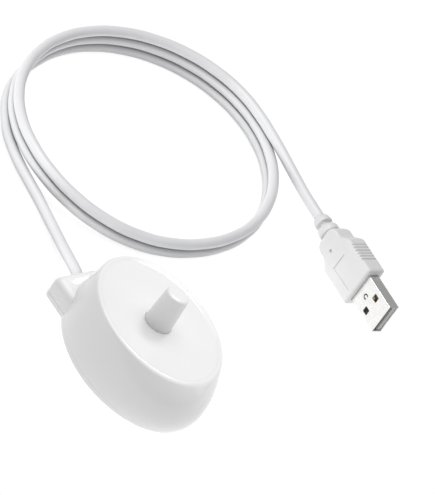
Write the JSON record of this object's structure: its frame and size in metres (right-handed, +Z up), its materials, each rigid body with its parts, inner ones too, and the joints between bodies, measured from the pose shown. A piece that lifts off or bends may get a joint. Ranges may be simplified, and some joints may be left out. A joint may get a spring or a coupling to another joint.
{
  "type": "toothbrush charger",
  "caption": "Oval inductive toothbrush charger with a short charging post, a coiled white cord and a USB-A plug.",
  "frame": {"origin": "on the floor, under the charging post's axis, in the middle of the rubber pad", "axes": "+Z up along the charging post, +Y along the base's long axis towards the end where the cord leaves, +X across the base"},
  "size_m": [0.1385, 0.1919, 0.0331],
  "materials": {
    "white_abs": "gloss white moulded ABS",
    "post_abs": "gloss white moulded ABS",
    "pad_rubber": "matt grey rubber",
    "ferrite": "dark sintered ferrite",
    "bobbin_nylon": "natural nylon",
    "copper_wire": "enamelled copper wire",
    "board_green": "solder mask over glass fibre",
    "chip_black": "black epoxy",
    "can_aluminium": "drawn aluminium can",
    "film_yellow": "yellow film capacitor case",
    "ceramic_tan": "ceramic chip parts",
    "screw_steel": "zinc plated steel",
    "clamp_nylon": "white nylon",
    "grommet_pvc": "soft white PVC",
    "lead_red": "red PVC insulation",
    "lead_black": "black PVC insulation",
    "cord_pvc": "satin white PVC jacket",
    "plug_pvc": "satin white moulded PVC",
    "plug_inner": "polyethylene inner mould",
    "plug_nickel": "nickel plated steel",
    "tongue_plastic": "PBT insulator",
    "contact_gold": "gold plated contacts"
  },
  "bodies": {
    "root": {"top_housing": "white_abs", "bottom_cover": "white_abs", "rubber_pad": "pad_rubber", "charging_post": "post_abs", "ferrite_core": "ferrite", "coil_bobbin": "bobbin_nylon", "primary_coil": "copper_wire", "circuit_board": "board_green", "controller_chip": "chip_black", "switching_transistors": "chip_black", "smoothing_capacitor": "can_aluminium", "resonant_capacitor": "film_yellow", "chip_components": "ceramic_tan", "small_screws": "screw_steel", "cord_grommet": "grommet_pvc", "cord_clamp": "clamp_nylon", "lead_red": "lead_red", "lead_black": "lead_black", "cord_lead_in": "cord_pvc", "cord_coil": "cord_pvc", "cord_lead_out": "cord_pvc", "plug_overmould": "plug_pvc", "plug_inner_mould": "plug_inner", "plug_shell": "plug_nickel", "plug_tongue": "tongue_plastic", "plug_contacts": "contact_gold"}
  },
  "joints": []
}
